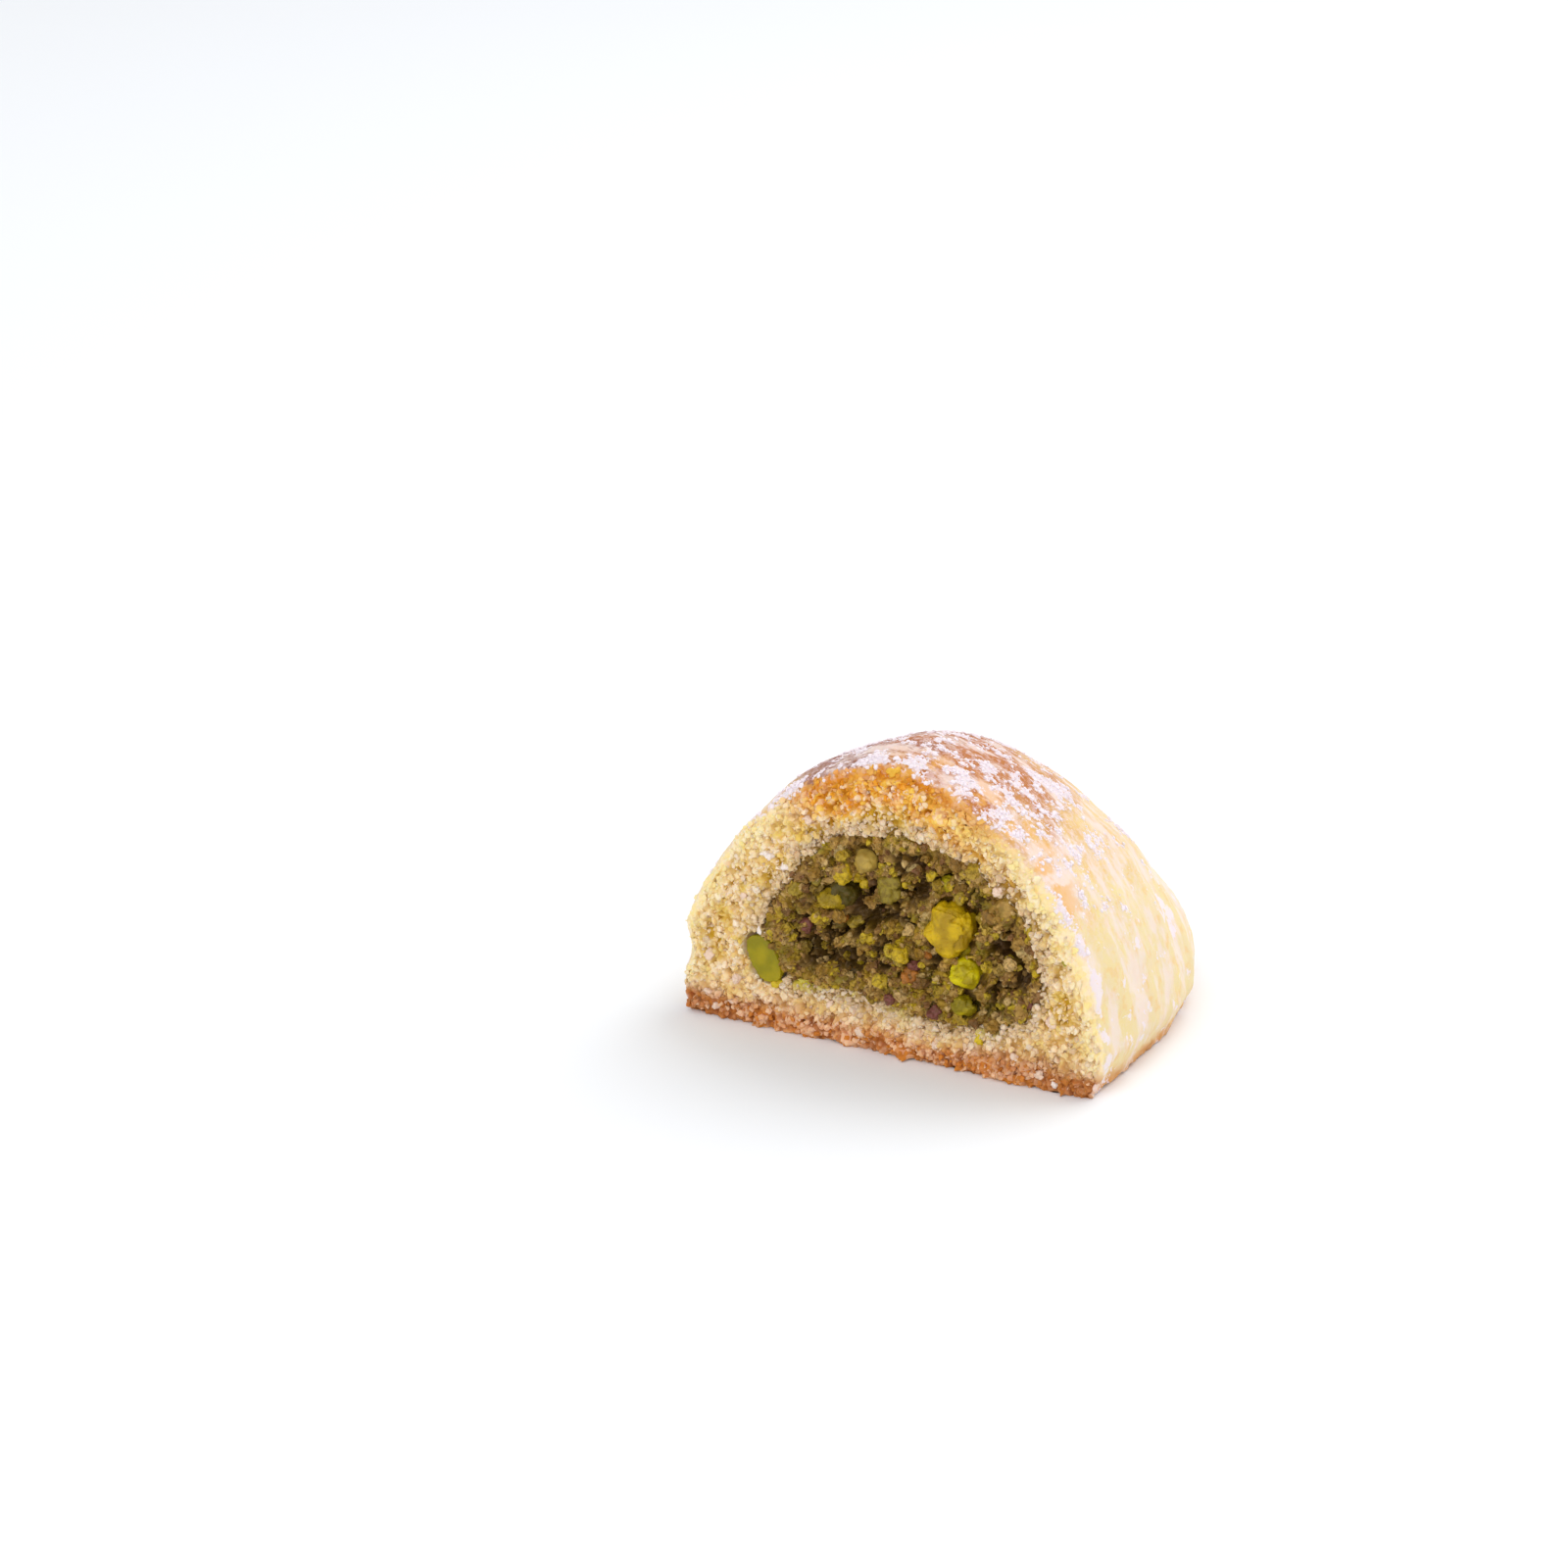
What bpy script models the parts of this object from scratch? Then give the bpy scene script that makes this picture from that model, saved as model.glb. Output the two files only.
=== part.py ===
"""Half of an oval filled shortbread biscuit, cut straight across its length.

The dough is a flat-based dome with a tucked-in foot and faint ribs down its flanks.
A core of ground nuts starts at the cut and runs back inside the dough, and larger
nut pieces sit in the core where the knife passed.
Metres, +Z up, resting on z = 0, cut face towards -Y.
"""
import math

import bmesh
import bpy
import numpy as np
from mathutils import Matrix, Vector

# Dome of the whole biscuit. Its long axis is Y; the knife passed just short of the middle.
HALF_LENGTH = 0.02986
HALF_WIDTH = 0.020
HEIGHT = 0.02513
CENTRE_X = 0.00010
CUT_Y = -0.01632
CENTRE_Y = CUT_Y + 0.00494   # middle of the whole biscuit, behind the cut
PLAN_POWER = 2.65            # how square the outline is, seen from above
RIDGE_POWER = (1.63, 1.60)   # how the ridge falls towards the tip
# Section powers (width, height) at the middle and at the tip. The -X flank is the leaner one.
LEFT_POWERS = ((1.48, 2.14), (1.20, 1.42))
RIGHT_POWERS = ((1.60, 2.20), (1.20, 1.42))
RIGHT_WIDTH = 0.965          # the +X flank is this much narrower
CREST_ROUND = 0.05           # softens the ridge line where the two flanks meet
# The foot is drawn in by this share of the width, from this height down.
LEFT_FOOT = (0.088, 0.0074)
RIGHT_FOOT = (0.065, 0.0035)  # near the middle; at the tip it is as the left one
FOOT_ROUND = 0.0006
RIB_DEPTH = 0.00018
RIB_PITCH = 0.0050

# Nut core. Radii every 20 degrees about its middle, counted from +X towards +Z.
CORE_MIDDLE = (0.0005, 0.0100)
CORE_RADII = (0.0129, 0.0119, 0.0103, 0.0095, 0.0088, 0.0084, 0.0091, 0.0092, 0.0096,
              0.0113, 0.0127, 0.0076, 0.0055, 0.0052, 0.0054, 0.0066, 0.0089, 0.0124)
CORE_LENGTH = 0.0235         # middle of the biscuit to the inner end of the core
CORE_DROP = 0.004            # the inner end lies this much lower, following the ridge
CORE_POWER = 2.3

GAP = 0.0003                 # clearance between neighbouring pieces

# Nut pieces: centre x, centre z, behind the cut; half sizes along, across, deep; tilt in degrees.
NUTS = {
    "pistachio_slice": ((-0.0111, 0.0060, 0.0000), (0.00210, 0.00130, 0.00200), -61),
    "pistachio_large": ((0.0054, 0.0119, 0.0010), (0.00205, 0.00225, 0.00170), -20),
    "pistachio_lower": ((0.0068, 0.0083, 0.0007), (0.00125, 0.00110, 0.00120), 35),
    "pistachio_bottom": ((0.0067, 0.0057, 0.0006), (0.00090, 0.00075, 0.00100), 10),
    "pistachio_pale": ((-0.0021, 0.0161, 0.0006), (0.00095, 0.00090, 0.00100), 0),
    "pistachio_olive": ((-0.0053, 0.0121, 0.0006), (0.00100, 0.00075, 0.00100), 20),
}

# Colours (linear RGB) and roughness.
COLOURS = {
    "dough": ((0.73, 0.50, 0.21), 0.80),
    "filling": ((0.13, 0.115, 0.035), 0.65),
    "pistachio_slice": ((0.20, 0.33, 0.02), 0.45),
    "pistachio_large": ((0.42, 0.42, 0.03), 0.50),
    "pistachio_lower": ((0.33, 0.38, 0.02), 0.50),
    "pistachio_bottom": ((0.24, 0.28, 0.03), 0.50),
    "pistachio_pale": ((0.35, 0.36, 0.10), 0.50),
    "pistachio_olive": ((0.28, 0.27, 0.04), 0.50),
}


def signed_power(value, power):
    return math.copysign(abs(value) ** power, value)


def flank_power(cosine, power):
    """Width share across the section: a power of the cosine, rounded over at the ridge."""
    rounded = (cosine * cosine + CREST_ROUND) / (1 + CREST_ROUND)
    return cosine * rounded ** ((power - 1) / 2)


def dome_point(unit):
    """Move one unit-sphere point (poles on Y) to the surface of the whole dome."""
    along = min(abs(unit.y), 1.0)
    ring = math.hypot(unit.x, unit.z)
    cos_a, sin_a = (unit.x / ring, unit.z / ring) if ring > 1e-9 else (0.0, 0.0)
    width = HALF_WIDTH * (1 - along ** PLAN_POWER) ** (1 / PLAN_POWER)
    height = HEIGHT * (1 - along ** RIDGE_POWER[0]) ** (1 / RIDGE_POWER[1])
    middle, tip = RIGHT_POWERS if cos_a > 0 else LEFT_POWERS
    share = along * along
    n_width = middle[0] + (tip[0] - middle[0]) * share
    n_height = middle[1] + (tip[1] - middle[1]) * share
    x = width * flank_power(cos_a, 2 / n_width)
    z = height * signed_power(sin_a, 2 / n_height)
    tuck, tuck_height = LEFT_FOOT
    if cos_a > 0:
        x *= RIGHT_WIDTH
        tuck = RIGHT_FOOT[0] + (tuck - RIGHT_FOOT[0]) * share
        tuck_height = RIGHT_FOOT[1] + (tuck_height - RIGHT_FOOT[1]) * share
    low = min(max(1 - z / tuck_height, 0.0), 1.0)
    foot = 1 - tuck * low * low
    y = HALF_LENGTH * unit.y
    rib = RIB_DEPTH * math.cos(2 * math.pi * y / RIB_PITCH)
    rib *= math.sin(math.pi * min(max(z / height, 0.0), 1.0)) if height > 1e-6 else 0.0
    x += signed_power(cos_a, 1.0) * rib if abs(cos_a) > 0.2 else 0.0
    return Vector((CENTRE_X + x * foot, CENTRE_Y + y * foot, z))


def core_point(unit, extra):
    """Move one unit-sphere point (poles on Y) to the nut core, grown outwards by extra."""
    along = min(abs(unit.y), 1.0)
    angle = math.degrees(math.atan2(unit.z, unit.x)) % 360
    stops = np.arange(len(CORE_RADII) + 1) * 360 / len(CORE_RADII)
    radius = float(np.interp(angle, stops, CORE_RADII + CORE_RADII[:1])) + extra
    taper = (1 - along ** CORE_POWER) ** (1 / CORE_POWER)
    x = CORE_MIDDLE[0] + radius * taper * math.cos(math.radians(angle))
    z = CORE_MIDDLE[1] - CORE_DROP * along ** 2 + radius * taper * math.sin(math.radians(angle))
    return Vector((x, CENTRE_Y + (CORE_LENGTH + extra) * unit.y, z))


def nut_point(unit, centre, half_sizes, tilt, extra):
    """Move one unit-sphere point to a blocky nut piece, grown outwards by extra."""
    blocky = Vector([signed_power(c, 0.85) for c in unit])
    lump = 1 + 0.07 * math.sin(4.1 * unit.x + 60 * centre[0] * 1000) * math.cos(3.3 * unit.z + 1.1)
    size = [half + extra for half in half_sizes]
    local = Vector((blocky.x * size[0], blocky.y * size[2], blocky.z * size[1])) * lump
    turned = Matrix.Rotation(math.radians(-tilt), 3, "Y") @ local
    return turned + Vector((centre[0], CUT_Y + centre[2], centre[1]))


def uv_sphere(segments, rings):
    """Unit sphere with its poles on the Y axis."""
    bm = bmesh.new()
    bmesh.ops.create_uvsphere(bm, u_segments=segments, v_segments=rings, radius=1.0,
                              matrix=Matrix.Rotation(math.pi / 2, 4, "X"))
    return bm


def trim(bm, point, normal):
    """Remove everything on the normal's side of a plane and close the flat it leaves."""
    everything = bm.verts[:] + bm.edges[:] + bm.faces[:]
    cut = bmesh.ops.bisect_plane(bm, geom=everything, dist=1e-7, plane_co=point,
                                 plane_no=normal, clear_outer=True)
    rim = [g for g in cut["geom_cut"] if isinstance(g, bmesh.types.BMEdge)]
    bmesh.ops.edgeloop_fill(bm, edges=[e for e in rim if e.is_boundary])


def finish(bm, name, collection, colour=None):
    """Turn a bmesh into a named object, with a material when a colour is given."""
    bmesh.ops.remove_doubles(bm, verts=bm.verts, dist=1e-6)
    bmesh.ops.recalc_face_normals(bm, faces=bm.faces)
    mesh = bpy.data.meshes.new(name)
    bm.to_mesh(mesh)
    bm.free()
    obj = bpy.data.objects.new(name, mesh)
    collection.objects.link(obj)
    if colour:
        material = bpy.data.materials.new(name)
        material.use_nodes = True
        shader = material.node_tree.nodes["Principled BSDF"]
        shader.inputs["Base Color"].default_value = (*colour[0], 1.0)
        shader.inputs["Roughness"].default_value = colour[1]
        mesh.materials.append(material)
    return obj


def subtract(obj, cutter):
    """Cut one object out of another."""
    boolean = obj.modifiers.new("minus_" + cutter.name, "BOOLEAN")
    boolean.operation = "DIFFERENCE"
    boolean.solver = "EXACT"
    boolean.object = cutter


def nut_cutter(name):
    """Pocket for one nut piece, GAP larger than the piece all round."""
    bm = bmesh.new()
    bmesh.ops.create_icosphere(bm, subdivisions=3, radius=1.0)
    for vert in bm.verts:
        vert.co = nut_point(vert.co, *NUTS[name], GAP)
    cutter = finish(bm, name + "_pocket", cutters)
    cutter.hide_render = True
    cutter.display_type = "WIRE"
    return cutter


for old in list(bpy.data.objects):
    bpy.data.objects.remove(old, do_unlink=True)

biscuit = bpy.data.collections.new("maamoul_cookie")
cutters = bpy.data.collections.new("cutters")
bpy.context.scene.collection.children.link(biscuit)
bpy.context.scene.collection.children.link(cutters)

# Dough: the dome, its flat base with a small round at the foot, then the knife cut.
dome = uv_sphere(56, 80)
for vert in dome.verts:
    vert.co = dome_point(vert.co)
trim(dome, (0, 0, 0), (0, 0, -1))
foot = [e for e in dome.edges if all(abs(v.co.z) < 1e-6 for v in e.verts)]
bmesh.ops.bevel(dome, geom=foot, offset=FOOT_ROUND, segments=2, profile=0.5, affect="EDGES",
                clamp_overlap=True)
trim(dome, (0, CUT_Y, 0), (0, -1, 0))
dough = finish(dome, "dough", biscuit, COLOURS["dough"])

# Hollow for the core. It runs out past the cut so the knife face opens it.
hollow = uv_sphere(36, 30)
for vert in hollow.verts:
    vert.co = core_point(vert.co, GAP)
cavity = finish(hollow, "core_hollow", cutters)
cavity.hide_render = True
cavity.display_type = "WIRE"
subtract(dough, cavity)

# Filling: the nut core, flush with the cut.
core = uv_sphere(36, 30)
for vert in core.verts:
    vert.co = core_point(vert.co, 0.0)
trim(core, (0, CUT_Y, 0), (0, -1, 0))
filling = finish(core, "filling", biscuit, COLOURS["filling"])

# Nut pieces in their pockets. The slice lies half in the core and half in the dough.
for name, (centre, half_sizes, tilt) in NUTS.items():
    piece = bmesh.new()
    bmesh.ops.create_icosphere(piece, subdivisions=3, radius=1.0)
    for vert in piece.verts:
        vert.co = nut_point(vert.co, centre, half_sizes, tilt, 0.0)
    if name == "pistachio_slice":
        trim(piece, (0, CUT_Y, 0), (0, -1, 0))
    finish(piece, name, biscuit, COLOURS[name])
    pocket = nut_cutter(name)
    subtract(filling, pocket)
    if name == "pistachio_slice":
        subtract(dough, pocket)
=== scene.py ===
"""Half of an oval shortbread biscuit with a ground nut core, cut across, on a pale floor.

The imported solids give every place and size. The dough, the core and the nut pieces are
remodelled finely over them; crumb grains, nut crumbs and powdered sugar are laid on top.
Units are metres unless a name ends in _mm.
"""
import math

import bpy
import numpy as np
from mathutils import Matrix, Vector
from mathutils.bvhtree import BVHTree


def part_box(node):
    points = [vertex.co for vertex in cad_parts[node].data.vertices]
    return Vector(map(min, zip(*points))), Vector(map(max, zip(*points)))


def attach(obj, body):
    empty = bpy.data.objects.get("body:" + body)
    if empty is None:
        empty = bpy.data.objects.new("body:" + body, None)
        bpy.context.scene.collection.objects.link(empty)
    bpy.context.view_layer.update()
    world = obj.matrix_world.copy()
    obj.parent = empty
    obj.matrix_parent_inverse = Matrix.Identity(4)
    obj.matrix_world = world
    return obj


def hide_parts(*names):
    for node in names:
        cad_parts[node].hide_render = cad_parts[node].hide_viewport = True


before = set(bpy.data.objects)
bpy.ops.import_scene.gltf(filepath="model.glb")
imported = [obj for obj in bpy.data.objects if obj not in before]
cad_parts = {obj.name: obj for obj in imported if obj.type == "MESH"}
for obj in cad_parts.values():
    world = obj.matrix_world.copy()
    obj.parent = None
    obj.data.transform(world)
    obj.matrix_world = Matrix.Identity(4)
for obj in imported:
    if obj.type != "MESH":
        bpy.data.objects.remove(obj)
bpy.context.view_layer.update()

# ---- Camera ---------------------------------------------------------------------------
# A long lens looks down at the cut face from its right. It aims behind the half and to
# its left, so the half stands low and to the right in the frame.
VIEW_TURN = math.radians(29.2)
VIEW_TILT = math.radians(20.97)
VIEW_DISTANCE = 0.4476
VIEW_AIM = Vector((-0.0365, 0.0325, 0.0))

camera_data = bpy.data.cameras.new("camera")
camera_data.lens = 112.5
camera_data.sensor_width = 36.0
camera_data.clip_start = 0.01
camera = bpy.data.objects.new("camera", camera_data)
bpy.context.scene.collection.objects.link(camera)
towards_camera = Vector((math.sin(VIEW_TURN) * math.cos(VIEW_TILT),
                         -math.cos(VIEW_TURN) * math.cos(VIEW_TILT),
                         math.sin(VIEW_TILT)))
camera.location = VIEW_AIM + towards_camera * VIEW_DISTANCE
camera.rotation_euler = (math.pi / 2 - VIEW_TILT, 0.0, VIEW_TURN)
bpy.context.scene.camera = camera

# ---- Light ----------------------------------------------------------------------------
# A white room, one large soft lamp high behind the half and to its right, and a weak
# lamp in front, so that the cut stays a middle tone and its shadow falls forwards.
bpy.context.scene.view_settings.view_transform = "Standard"
world = bpy.data.worlds.new("white_room")
bpy.context.scene.world = world
world.use_nodes = True
walls = world.node_tree.nodes["Background"]
walls.inputs["Color"].default_value = (0.97, 0.985, 1.0, 1.0)
walls.inputs["Strength"].default_value = 0.78


def soft_lamp(name, place, size, watts, colour):
    """Square area lamp aimed at the middle of the half."""
    data = bpy.data.lights.new(name, "AREA")
    data.size = size
    data.energy = watts
    data.color = colour
    lamp = bpy.data.objects.new(name, data)
    bpy.context.scene.collection.objects.link(lamp)
    lamp.location = place
    lamp.rotation_euler = (Vector((0, 0, 0.01)) - Vector(place)).to_track_quat("-Z", "Y").to_euler()


soft_lamp("back_lamp", (0.16, 0.30, 0.46), 0.46, 1.55, (1.0, 0.99, 0.98))
soft_lamp("front_lamp", (0.02, -0.52, 0.30), 0.50, 1.05, (1.0, 0.99, 0.98))

# ---- Floor ----------------------------------------------------------------------------
# A matt white board, wide enough to reach past every edge of the frame. It lies a hair
# below the base, so that the two don't share a plane.
bpy.ops.mesh.primitive_plane_add(size=4.0, location=(0, 0, -0.00002))
floor = bpy.context.object
floor.name = "floor"
floor_paint = bpy.data.materials.new("white_board")
floor_paint.use_nodes = True
board = floor_paint.node_tree.nodes["Principled BSDF"]
board.inputs["Base Color"].default_value = (0.91, 0.925, 0.95, 1.0)
board.inputs["Roughness"].default_value = 0.9
floor.data.materials.append(floor_paint)

# ---- Shortbread dough -----------------------------------------------------------------
# Baked semolina dough, pressed in a mould: smooth pale flanks with faint ribs, a browned
# top and foot, and a sandy crumb where the knife passed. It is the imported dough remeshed
# evenly, cut finer near the knife face, and given its relief there and on the crust.
DOUGH_VOXEL = 0.00032
KNIFE_BAND = 0.0008         # depth behind the knife face that is meshed finely
ON_KNIFE_FACE = 0.00001     # a packed face whose middle lies this near the cut belongs to it
LINING_GAP = 0.0009         # a packed dough face this near the core or the slice lines their hollow
STRAY = 0.00015             # a collapsed vertex further off the surface than this is put back
CUT_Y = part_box("dough")[0].y
CUT_Y_MM = CUT_Y * 1000
EDGE_CHIP = (-19.4, CUT_Y_MM, 5.0)          # middle of a small chip out of the cut's left edge
CHIP_REACH = 2.2            # millimetres from the chip's middle to its rim
ARRIS_REACH = 1.5           # millimetres from the cut's edge over which it is worn and torn
RIB_PITCH_MM = 5.0          # the mould's ribs run across the biscuit
RIB_SHIFT = 11.38 + RIB_PITCH_MM / 2        # sets where along the biscuit a valley falls


def node(tree, kind, links=None, **settings):
    """Add one node; links gives its inputs either values or other nodes' outputs."""
    made = tree.nodes.new(kind)
    for name, value in settings.items():
        setattr(made, name, value)
    for key, value in (links or {}).items():
        if isinstance(value, bpy.types.NodeSocket):
            tree.links.new(value, made.inputs[key])
        else:
            made.inputs[key].default_value = value
    return made


def calc(tree, operation, *values):
    """One Math node on sockets or numbers."""
    return node(tree, "ShaderNodeMath", dict(enumerate(values)), operation=operation).outputs[0]


def ramp(tree, value, low, high, start=0.0, end=1.0):
    """Smooth step of a value from low to high; low may be the larger."""
    return node(tree, "ShaderNodeMapRange", {"Value": value, "From Min": low, "From Max": high,
                                             "To Min": start, "To Max": end},
                interpolation_type="SMOOTHSTEP").outputs["Result"]


def total(tree, *values):
    """Sum of sockets or numbers."""
    result = values[0]
    for value in values[1:]:
        result = calc(tree, "ADD", result, value)
    return result


def product(tree, *values):
    """Product of sockets or numbers."""
    result = values[0]
    for value in values[1:]:
        result = calc(tree, "MULTIPLY", result, value)
    return result


def vector_calc(tree, operation, *vectors):
    """One Vector Math node on sockets or vectors."""
    return node(tree, "ShaderNodeVectorMath", dict(enumerate(vectors)), operation=operation).outputs[0]


def scaled(tree, vector, factor):
    """A vector times a number."""
    return node(tree, "ShaderNodeVectorMath", {0: vector, "Scale": factor}, operation="SCALE").outputs[0]


def parts(tree, vector):
    """The three numbers of a vector."""
    return node(tree, "ShaderNodeSeparateXYZ", {0: vector}).outputs


def swing(tree, value, size):
    """A noise factor made to swing about zero by half the size each way."""
    return product(tree, calc(tree, "SUBTRACT", value, 0.5), size)


def noise(tree, vector, per_mm, detail=2.0, roughness=0.5):
    """Noise factor with a scale in cycles per millimetre."""
    return node(tree, "ShaderNodeTexNoise", {"Vector": vector, "Scale": per_mm, "Detail": detail,
                                             "Roughness": roughness}).outputs[0]


def cells(tree, vector, per_mm, feature="F1"):
    """Voronoi texture node with a scale in cells per millimetre."""
    return node(tree, "ShaderNodeTexVoronoi", {"Vector": vector, "Scale": per_mm}, feature=feature)


def cobbles(tree, at, per_mm, level, size):
    """Rise of rounded grains set close together, with the creases between them sunk."""
    distance = cells(tree, at, per_mm).outputs["Distance"]
    return product(tree, calc(tree, "SUBTRACT", level, distance), size)


def torn_edge(tree, at, arris):
    """How far the skin is torn off by the knife, from the stored nearness to the cut's edge."""
    return total(tree, arris, swing(tree, noise(tree, at, 0.7, 4, 0.65), 1.6))


def geometry_tree(name):
    """Empty geometry node tree with one geometry going in and one coming out."""
    tree = bpy.data.node_groups.new(name, "GeometryNodeTree")
    tree.interface.new_socket("Geometry", in_out="INPUT", socket_type="NodeSocketGeometry")
    tree.interface.new_socket("Geometry", in_out="OUTPUT", socket_type="NodeSocketGeometry")
    return tree, node(tree, "NodeGroupInput").outputs[0], node(tree, "NodeGroupOutput").inputs[0]


def attribute(tree, name):
    """A stored number, read in a geometry tree."""
    return node(tree, "GeometryNodeInputNamedAttribute", {"Name": name}, data_type="FLOAT").outputs[0]


def place_mm(tree):
    """The point's place in millimetres, in a geometry tree."""
    return scaled(tree, node(tree, "GeometryNodeInputPosition").outputs[0], 1000.0)


def along_normal(tree, rise_mm):
    """Offset along the surface normal by a number of millimetres."""
    normal = node(tree, "GeometryNodeInputNormal").outputs[0]
    return scaled(tree, normal, product(tree, rise_mm, 0.001))


def away_from(tree, at, middle, distance_mm):
    """Offset within the knife face's plane, away from a middle line that runs along Y."""
    offset = vector_calc(tree, "SUBTRACT", at, middle)
    offset = vector_calc(tree, "MULTIPLY", offset, (1.0, 0.0, 1.0))
    offset = vector_calc(tree, "NORMALIZE", offset)
    return scaled(tree, offset, product(tree, distance_mm, 0.001))


def shifted(tree, geometry, offset):
    """A geometry with its points moved by an offset."""
    return node(tree, "GeometryNodeSetPosition", {"Geometry": geometry, "Offset": offset}).outputs[0]


def with_number(tree, geometry, name, value, domain="POINT"):
    """A geometry with a number stored on each of its points or instances."""
    return node(tree, "GeometryNodeStoreNamedAttribute",
                {"Geometry": geometry, "Name": name, "Value": value},
                data_type="FLOAT", domain=domain).outputs[0]


def apply_tree(piece, tree):
    """Run a geometry tree on a piece and keep the result."""
    modifier = piece.modifiers.new(tree.name, "NODES")
    modifier.node_group = tree
    bpy.ops.object.select_all(action="DESELECT")
    bpy.context.view_layer.objects.active = piece
    piece.select_set(True)
    bpy.ops.object.modifier_apply(modifier=modifier.name)


def copy_of(node_name, name):
    """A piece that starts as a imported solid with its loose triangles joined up."""
    piece = bpy.data.objects.new(name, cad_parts[node_name].data.copy())
    piece.data.materials.clear()
    bpy.context.scene.collection.objects.link(piece)
    bpy.ops.object.select_all(action="DESELECT")
    bpy.context.view_layer.objects.active = piece
    piece.select_set(True)
    bpy.ops.object.mode_set(mode="EDIT")
    bpy.ops.mesh.select_all(action="SELECT")
    bpy.ops.mesh.remove_doubles(threshold=0.000001)
    bpy.ops.object.mode_set(mode="OBJECT")
    return piece


def refine(piece, voxel, band, cuts):
    """Remesh a piece evenly, then divide the faces within band of the knife face."""
    remesh = piece.modifiers.new("remesh", "REMESH")
    remesh.mode = "VOXEL"
    remesh.voxel_size = voxel
    bpy.context.view_layer.objects.active = piece
    bpy.ops.object.modifier_apply(modifier=remesh.name)
    bpy.ops.object.mode_set(mode="EDIT")
    bpy.ops.mesh.select_all(action="DESELECT")
    bpy.ops.object.mode_set(mode="OBJECT")
    middles = np.zeros(len(piece.data.polygons) * 3)
    piece.data.polygons.foreach_get("center", middles)
    piece.data.polygons.foreach_set("select", middles[1::3] < CUT_Y + band)
    bpy.ops.object.mode_set(mode="EDIT")
    bpy.ops.mesh.select_mode(type="FACE")
    bpy.ops.mesh.subdivide(number_cuts=cuts)
    bpy.ops.object.mode_set(mode="OBJECT")
    bpy.ops.object.shade_smooth()


def thin_hidden(piece, hidden, ratio):
    """Collapse the faces of a hidden part to a share of their number, none leaving the surface."""
    surface = BVHTree.FromObject(piece, bpy.context.evaluated_depsgraph_get())
    group = piece.vertex_groups.new(name="hidden")
    group.add([int(i) for i in np.nonzero(hidden)[0]], 1.0, "REPLACE")
    collapse = piece.modifiers.new("thin", "DECIMATE")
    collapse.ratio = ratio
    collapse.vertex_group = group.name
    bpy.context.view_layer.objects.active = piece
    bpy.ops.object.modifier_apply(modifier=collapse.name)
    piece.vertex_groups.clear()
    for vertex in piece.data.vertices:
        on_surface, _, _, distance = surface.find_nearest(vertex.co)
        if distance > STRAY:
            vertex.co = on_surface


def vertex_places(mesh):
    """Vertex places as an array of rows."""
    flat = np.zeros(len(mesh.vertices) * 3)
    mesh.vertices.foreach_get("co", flat)
    return flat.reshape(-1, 3)


def store(mesh, name, values):
    """Keep one number for each vertex."""
    layer = mesh.attributes.new(name, "FLOAT", "POINT")
    layer.data.foreach_set("value", np.asarray(values, np.float32))


def side_wall(solid):
    """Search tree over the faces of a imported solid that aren't on its knife face."""
    mesh = solid.data
    faces = [tuple(f.vertices) for f in mesh.polygons if f.center.y > CUT_Y + ON_KNIFE_FACE]
    return BVHTree.FromPolygons([v.co.copy() for v in mesh.vertices], faces)


def distances_mm(tree, places):
    """Distance from each place to the nearest face in a search tree, in millimetres."""
    return np.array([tree.find_nearest(Vector(p))[3] for p in places]) * 1000


shortbread = copy_of("dough", "shortbread")
plain_dough = shortbread.data.copy()
core_wall = side_wall(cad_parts["filling"])
slice_wall = side_wall(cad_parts["pistachio_slice"])
rind_faces = [tuple(f.vertices) for f in plain_dough.polygons
              if f.center.y > CUT_Y + ON_KNIFE_FACE
              and core_wall.find_nearest(f.center)[3] > LINING_GAP
              and slice_wall.find_nearest(f.center)[3] > LINING_GAP]
rind_wall = BVHTree.FromPolygons([v.co.copy() for v in plain_dough.vertices], rind_faces)
refine(shortbread, DOUGH_VOXEL, KNIFE_BAND, 2)

# Only what is never seen is thinned: the hollow's lining and the flat underside, behind the cut.
places = vertex_places(shortbread.data)
core_mm = distances_mm(core_wall, places)
rind_mm = distances_mm(rind_wall, places)
hollow = (core_mm < 0.75) & (rind_mm > 0.5) & (places[:, 1] > CUT_Y + 0.004)
underside = (places[:, 2] < 0.00015) & (places[:, 1] > CUT_Y + 0.002) & (rind_mm < 0.5)
clear_of_foot = np.abs(places[:, 0]) < 0.0135
thin_hidden(shortbread, hollow | (underside & clear_of_foot), 0.55)

# Each point keeps its distance from the core and from the rind, and from 0 to 1 how far it is
# on the cut, on the edge between the cut and the skin, and in the chip.
places = vertex_places(shortbread.data)
core_mm = distances_mm(core_wall, places)
rind_mm = distances_mm(rind_wall, places)
behind_mm = (places[:, 1] - CUT_Y) * 1000
chip = np.linalg.norm(places * 1000 - np.array(EDGE_CHIP), axis=1)
store(shortbread.data, "core_mm", core_mm)
store(shortbread.data, "rind_mm", rind_mm)
store(shortbread.data, "cut", np.clip(1.25 - behind_mm / 0.35, 0, 1))
store(shortbread.data, "arris", np.clip(1 - np.hypot(rind_mm, behind_mm) / ARRIS_REACH, 0, 1))
store(shortbread.data, "chip", np.clip(1 - chip / CHIP_REACH, 0, 1))

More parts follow.
